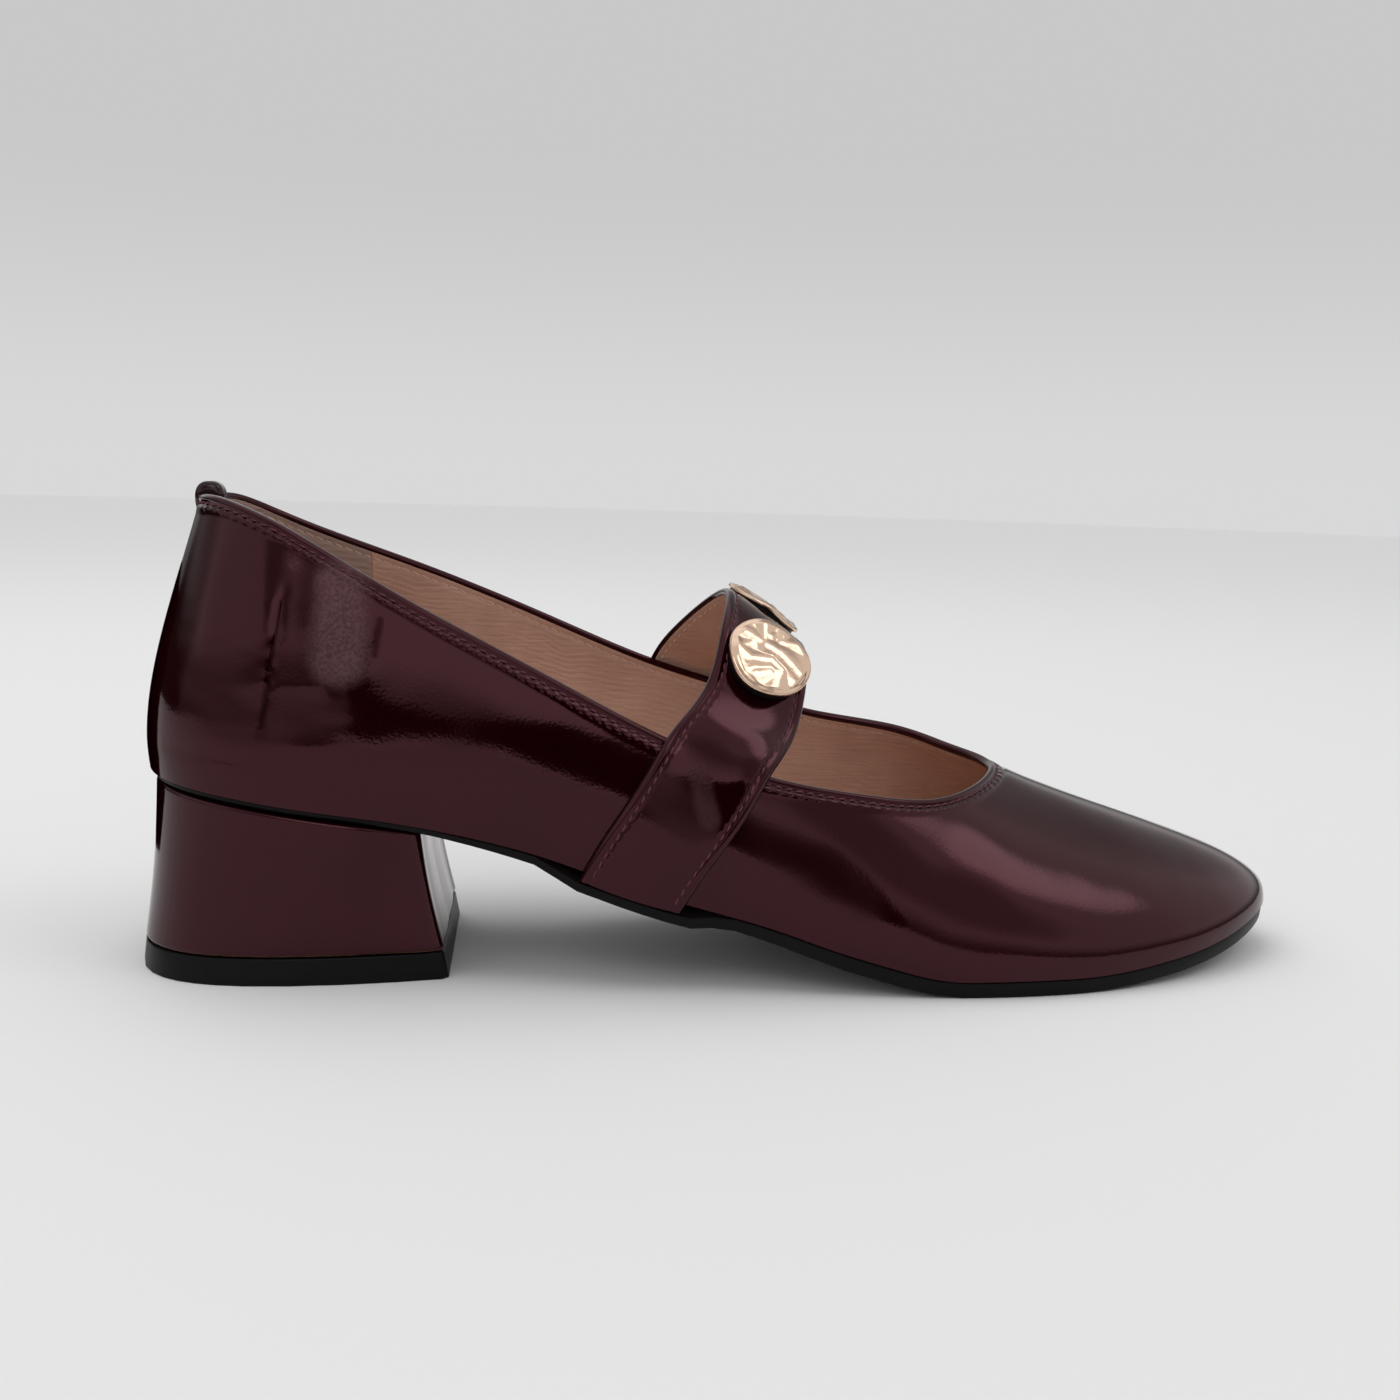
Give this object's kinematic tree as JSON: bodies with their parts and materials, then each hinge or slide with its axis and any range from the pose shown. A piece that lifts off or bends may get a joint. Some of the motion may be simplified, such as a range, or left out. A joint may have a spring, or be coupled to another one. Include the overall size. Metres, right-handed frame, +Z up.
{
  "type": "mary jane pump",
  "caption": "Women's mary jane pump, right shoe, with a low covered block heel, a rounded toe and an instep strap carrying two hammered metal discs.",
  "frame": {"origin": "on the floor, under the middle of the shoe's bounding box", "axes": "+X towards the toe, +Y towards the medial side of this right shoe, +Z up"},
  "size_m": [0.2466, 0.0786, 0.0977],
  "materials": {
    "patent_leather": "burgundy patent, high gloss",
    "lining_leather": "beige, matt",
    "sole_rubber": "black, satin",
    "top_piece_rubber": "black, satin",
    "disc_metal": "pale rose gold, polished, hammered"
  },
  "bodies": {
    "root": {"upper": "patent_leather", "back_tab": "patent_leather", "strap": "patent_leather", "heel_block": "patent_leather", "insole": "lining_leather", "outsole": "sole_rubber", "heel_top_piece": "top_piece_rubber", "disc_lateral": "disc_metal", "disc_medial": "disc_metal"}
  },
  "joints": []
}
